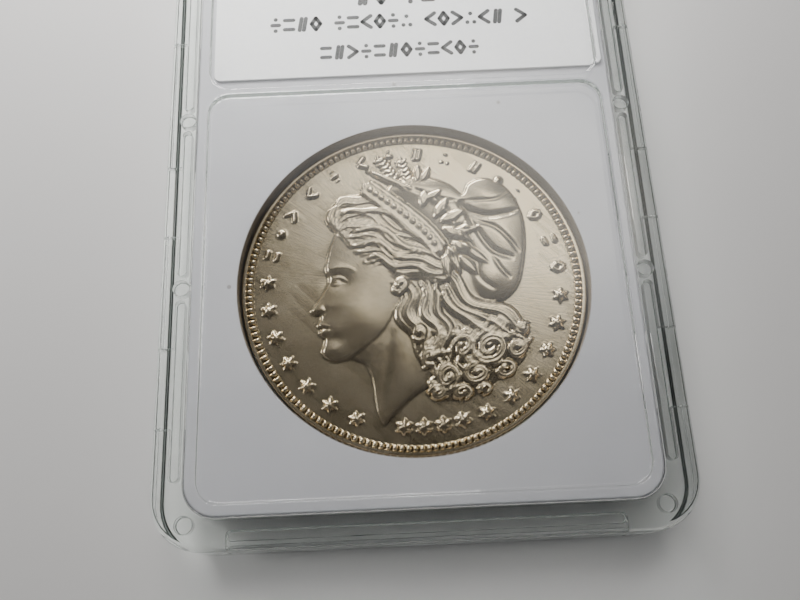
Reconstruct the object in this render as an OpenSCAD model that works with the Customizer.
// Graded coin slab: two clear welded shells round a white insert, a coin, two labels and a seal.
// The slab lies on its back. +X is across it, +Y runs up to the label end and +Z is its front face.
// The origin is the middle of the back face. All sizes are in millimetres.

/* [Slab outline] */
// Width across the slab
slab_w = 54.4; // [46:0.1:70]
// Length up the slab, from its bottom edge to its label end
slab_l = 85; // [71:0.1:110]
// Radius of the four outer corners, seen from the front
corner_r = 5.3; // [4.5:0.1:8]
// Rounding of the outer edges of the front and back faces
edge_r = 0.6; // [0.2:0.1:1]

/* [Windows] */
// Distance from the outer wall to the edge of the sunken windows
window_margin = 4.5; // [4:0.1:7]
// Corner radius of the windows
window_r = 2.4; // [1:0.1:4]
// Depth of the sunken windows below the rim
recess_d = 0.75; // [0.3:0.05:1.5]
// Thickness of the clear plate in the windows
plate_t = 1.3; // [0.8:0.1:2.5]
// Width of the bar that divides the label window from the coin window
bar_w = 0.9; // [0.5:0.1:3]
// Distance from the coin's centre up to the middle of that bar
bar_from_coin = 23.8; // [23:0.1:27]

/* [Coin] */
// Diameter of the coin
coin_d = 38.1; // [30:0.1:46]
// Thickness of the coin over its rim
coin_t = 2.4; // [1.6:0.1:3.5]
// Width of the raised rim of the coin
coin_rim_w = 1.3; // [0.8:0.1:2]
// Depth of the coin's field below its rim
field_d = 0.25; // [0.1:0.05:0.4]
// Distance from the slab's bottom edge up to the coin's centre
coin_from_bottom = 27.65; // [27:0.1:34]
// Gap all round between the coin and its opening in the insert
coin_gap = 0.2; // [0.1:0.05:0.5]
// Number of stars round the coin's field
star_count = 13; // [5:1:13]
// Distance from the edge of the coin's field in to the middle of the stars
star_inset = 1.55; // [1.2:0.05:3]
// Angle from each star to the next, in degrees
star_step = 11.5; // [8:0.5:14]
// Angle between the two stars beside the lowest point, in degrees
star_opening = 49.5; // [30:0.5:70]
// Radius of one star, from its middle to its points
star_r = 0.95; // [0.5:0.05:1.3]

/* [Insert and labels] */
// Width of the clear rim beside the insert
rim_side = 2.8; // [2.6:0.1:4]
// Width of the clear rim beyond the insert's two ends
rim_end = 3.2; // [2.6:0.1:4]
// Corner radius of the insert
insert_r = 3.4; // [2:0.1:5]
// Height of the insert's front face above the coin's rim
insert_lip = 1.15; // [0.5:0.05:2]
// Gap all round between the insert and the shells
fit_gap = 0.1; // [0.05:0.05:0.2]
// Thickness of each label card
label_t = 0.25; // [0.1:0.05:0.5]
// Distance from the coin's centre up to the lower edge of the labels
label_from_coin = 26.3; // [26:0.1:30]
// Distance that a label stops short of the insert's sides and end
label_margin = 1.2; // [0.8:0.1:3]
// Corner radius of the labels
label_r = 0.8; // [0.3:0.1:2]
// Distance that the front label lies off centre, to the right
label_shift = 0.6; // [-0.7:0.1:0.7]
// Side of the square foil seal on the rear label
seal_w = 12; // [8:0.5:14]
// Thickness of the foil seal
seal_t = 0.08; // [0.05:0.01:0.15]

/* [Welded joint] */
// Distance from the outer wall to the middle of the tongues and posts
tongue_inset = 1.6; // [1.5:0.1:1.8]
// Width of the tongues on the front shell
tongue_w = 1.0; // [0.7:0.05:1.2]
// Height of the tongues and posts below the seam
tongue_h = 1.4; // [0.8:0.1:1.6]
// Depth that the slots and sockets have beyond the tongues and posts
slot_spare = 0.3; // [0.1:0.1:0.4]
// Clearance between a tongue or post and the wall of its slot or socket
joint_gap = 0.05; // [0.03:0.01:0.08]
// Diameter of the round posts
post_d = 1.8; // [1.4:0.1:2.1]
// Distance from the corner arc's edge to the middle of a corner post
corner_post_inset = 1.8; // [1.6:0.1:2.2]
// Distance of the lower pair of side posts above the coin's centre
low_post_from_coin = 0.5; // [-5:0.1:5]
// Distance of the upper pair of side posts above the coin's centre
high_post_from_coin = 21.55; // [17:0.1:24]
// Wall between a post's socket and the end of a slot
post_wall = 0.45; // [0.3:0.05:1]
// Distance from the slab's outline to the slots' ends beside a corner
slot_end_inset = 7.1; // [6.5:0.1:9]
// Length of the short steps in the side seams
side_step_l = 8.8; // [5:0.1:12]
// Depth of the steps in the seam
step_d = 1.0; // [0.5:0.1:1.3]

/* [Hidden] */
$fn = 96;
// Small overlap that keeps a cut's faces off the faces of what it cuts
eps = 0.5;
// Air left between each window plate and what lies under it
plate_gap = 0.05;
// Depth that a star goes on below the coin's field, so that it is one solid with it
star_root = 0.1;
// Room all round each label in the pocket behind the insert
pocket_room = 0.3;
// A star's inner corners lie at this share of its radius
star_waist = 0.45;

insert_w = slab_w - 2 * (rim_side + fit_gap);
insert_l = slab_l - 2 * (rim_end + fit_gap);
insert_t = coin_t + insert_lip;
cavity_w = slab_w - 2 * rim_side;
cavity_l = slab_l - 2 * rim_end;
cavity_r = insert_r + fit_gap;
cavity_h = insert_t + label_t + 2 * plate_gap;
plate_top = recess_d + plate_t;
slab_t = 2 * plate_top + cavity_h;
seam_z = slab_t / 2;
inner_z = plate_top + plate_gap;

coin_y = coin_from_bottom - slab_l / 2;
opening_d = coin_d + 2 * coin_gap;
field_r = coin_d / 2 - coin_rim_w;
star_h = field_d / 2;
star_circle_r = field_r - star_inset;
// The left side has the odd star
left_stars = ceil(star_count / 2);
right_stars = star_count - left_stars;

window_w = slab_w - 2 * window_margin;
window_low = -slab_l / 2 + window_margin;
window_high = slab_l / 2 - window_margin;
bar_y = coin_y + bar_from_coin;

label_w = insert_w - 2 * label_margin;
label_low = coin_y + label_from_coin;
label_high = insert_l / 2 - label_margin;
label_l = label_high - label_low;
label_y = (label_high + label_low) / 2;
pocket_d = label_t + seal_t + 2 * plate_gap;

socket_d = post_d + 2 * joint_gap;
slot_w = tongue_w + 2 * joint_gap;
slot_h = tongue_h + slot_spare;
tongue_x = slab_w / 2 - tongue_inset;
tongue_y = slab_l / 2 - tongue_inset;
end_x = slab_w / 2 - slot_end_inset;
end_y = slab_l / 2 - slot_end_inset;
low_post_y = coin_y + low_post_from_coin;
high_post_y = coin_y + high_post_from_coin;
post_clear = socket_d / 2 + post_wall;
// Lower and upper end of the three slots on each side
side_slots = [
    [-end_y, low_post_y - post_clear],
    [low_post_y + post_clear, high_post_y - post_clear],
    [high_post_y + post_clear, end_y]
];
corner_post_x = slab_w / 2 - corner_r + (corner_r - corner_post_inset) * cos(45);
corner_post_y = slab_l / 2 - corner_r + (corner_r - corner_post_inset) * sin(45);

clear_colour = [0.86, 0.9, 0.9, 0.3];
white_colour = [0.86, 0.86, 0.88];
label_colour = [0.97, 0.97, 0.98];
coin_colour = [0.78, 0.74, 0.64];
foil_colour = [0.75, 0.78, 0.82];

// A rectangle with rounded corners, about the origin
module rounded_outline(w, l, r) {
    square([w - 2 * r, l], center = true);
    square([w, l - 2 * r], center = true);
    for (sx = [-1, 1], sy = [-1, 1])
        translate([sx * (w / 2 - r), sy * (l / 2 - r)]) circle(r);
}

module rounded_plate(w, l, h, r) {
    linear_extrude(h) rounded_outline(w, l, r);
}

// A bar's end view: flat below, with its two upper edges rounded by e
module soft_end(w, h, e) {
    translate([-w / 2, 0]) square([w, h - e]);
    translate([-w / 2 + e, 0]) square([w - 2 * e, h]);
    for (sx = [-1, 1])
        translate([sx * (w / 2 - e), h - e]) circle(e);
}

// The same edge turned round a corner
module soft_corner(r, h, e) {
    rotate_extrude() {
        square([r, h - e]);
        square([r - e, h]);
        translate([r - e, h - e]) circle(e);
    }
}

// A plate with rounded corners whose upper edge is rounded all the way round
module soft_block(w, l, h, r, e) {
    rotate([90, 0, 0]) linear_extrude(l - 2 * r, center = true) soft_end(w, h, e);
    rotate([90, 0, 90]) linear_extrude(w - 2 * r, center = true) soft_end(l, h, e);
    for (sx = [-1, 1], sy = [-1, 1])
        translate([sx * (w / 2 - r), sy * (l / 2 - r), 0]) soft_corner(r, h, e);
}

// A round-ended bar from one end to the other along Y
module round_bar(from, to, w, h) {
    linear_extrude(h) {
        translate([-w / 2, from + w / 2]) square([w, to - from - w]);
        translate([0, from + w / 2]) circle(w / 2);
        translate([0, to - w / 2]) circle(w / 2);
    }
}

// The long bars of the joint. grow is what a slot has beyond its tongue on each side.
module joint_bars(w, h, grow) {
    for (sx = [-1, 1], s = side_slots)
        translate([sx * tongue_x, 0, 0])
            round_bar(s[0] + joint_gap - grow, s[1] - joint_gap + grow, w, h);
    for (sy = [-1, 1])
        translate([0, sy * tongue_y, 0]) rotate([0, 0, 90])
            round_bar(-end_x + joint_gap - grow, end_x - joint_gap + grow, w, h);
}

module joint_posts(d, h) {
    for (sx = [-1, 1]) {
        for (y = [low_post_y, high_post_y])
            translate([sx * tongue_x, y, 0]) cylinder(d = d, h = h);
        for (sy = [-1, 1])
            translate([sx * corner_post_x, sy * corner_post_y, 0]) cylinder(d = d, h = h);
    }
}

// The steps in the outer wall's seam, from the middle of the tongues out to reach
module seam_steps(reach, h, grow) {
    step_w = tongue_inset + reach;
    for (sx = [-1, 1], s = side_slots)
        translate([sx * (tongue_x + step_w / 2), (s[0] + s[1]) / 2, h / 2])
            cube([step_w, side_step_l + 2 * grow, h], center = true);
    for (sy = [-1, 1])
        translate([0, sy * (tongue_y + step_w / 2), h / 2])
            cube([2 * end_x + 2 * grow, step_w, h], center = true);
}

// The two sunken windows of a shell whose outer face is at height z
module window_cuts(z) {
    coin_window_l = bar_y - bar_w / 2 - window_low;
    label_window_l = window_high - bar_y - bar_w / 2;
    translate([0, window_low + coin_window_l / 2, z - recess_d])
        rounded_plate(window_w, coin_window_l, recess_d + eps, window_r);
    translate([0, window_high - label_window_l / 2, z - recess_d])
        rounded_plate(window_w, label_window_l, recess_d + eps, window_r);
}

module front_shell() {
    color(clear_colour)
    difference() {
        union() {
            translate([0, 0, seam_z]) soft_block(slab_w, slab_l, slab_t - seam_z, corner_r, edge_r);
            translate([0, 0, seam_z - tongue_h]) joint_bars(tongue_w, tongue_h + eps, 0);
            translate([0, 0, seam_z - tongue_h]) joint_posts(post_d, tongue_h + eps);
            translate([0, 0, seam_z - step_d]) seam_steps(0, step_d + eps, -joint_gap);
        }
        translate([0, 0, seam_z - eps])
            rounded_plate(cavity_w, cavity_l, slab_t - plate_top - seam_z + eps, cavity_r);
        window_cuts(slab_t);
    }
}

module rear_shell() {
    color(clear_colour)
    difference() {
        translate([0, 0, seam_z]) mirror([0, 0, 1])
            soft_block(slab_w, slab_l, seam_z, corner_r, edge_r);
        translate([0, 0, plate_top])
            rounded_plate(cavity_w, cavity_l, seam_z - plate_top + eps, cavity_r);
        mirror([0, 0, 1]) window_cuts(0);
        translate([0, 0, seam_z - slot_h]) joint_bars(slot_w, slot_h + eps, joint_gap);
        translate([0, 0, seam_z - slot_h]) joint_posts(socket_d, slot_h + eps);
        translate([0, 0, seam_z - step_d]) seam_steps(eps, step_d + eps, 0);
    }
}

module coin_insert() {
    color(white_colour)
    difference() {
        translate([0, 0, inner_z]) rounded_plate(insert_w, insert_l, insert_t, insert_r);
        translate([0, coin_y, inner_z - eps]) cylinder(d = opening_d, h = insert_t + 2 * eps);
        translate([0, label_y, inner_z - eps])
            rounded_plate(label_w + 2 * pocket_room, label_l + 2 * pocket_room, pocket_d + eps, label_r);
    }
}

// A five-pointed star about the origin
module star(r) {
    polygon([
        for (i = [0 : 9])
            let (q = i % 2 == 0 ? r : r * star_waist) [q * sin(i * 36), q * cos(i * 36)]
    ]);
}

// A row of stars that climbs one side of the coin from beside its lowest point: side is -1 or 1
module star_row(count, side) {
    for (i = [0 : count - 1]) {
        a = 270 + side * (star_opening / 2 + star_step * i);
        translate([star_circle_r * cos(a), star_circle_r * sin(a), 0])
            rotate([0, 0, a - 90]) linear_extrude(star_h + star_root) star(star_r);
    }
}

module coin() {
    color(coin_colour)
    translate([0, coin_y, inner_z]) {
        difference() {
            cylinder(d = coin_d, h = coin_t);
            translate([0, 0, coin_t - field_d]) cylinder(r = field_r, h = field_d + eps);
            translate([0, 0, -eps]) cylinder(r = field_r, h = field_d + eps);
        }
        translate([0, 0, coin_t - field_d - star_root]) {
            star_row(left_stars, -1);
            star_row(right_stars, 1);
        }
    }
}

module front_label() {
    color(label_colour)
    translate([label_shift, label_y, inner_z + insert_t])
        rounded_plate(label_w, label_l, label_t, label_r);
}

module rear_label() {
    color(label_colour)
    translate([0, label_y, inner_z + pocket_d - label_t])
        rounded_plate(label_w, label_l, label_t, label_r);
}

module seal_foil() {
    color(foil_colour)
    translate([0, label_y, inner_z + pocket_d - label_t - seal_t])
        rounded_plate(seal_w, seal_w, seal_t, label_r);
}

front_shell();
rear_shell();
coin_insert();
coin();
front_label();
rear_label();
seal_foil();
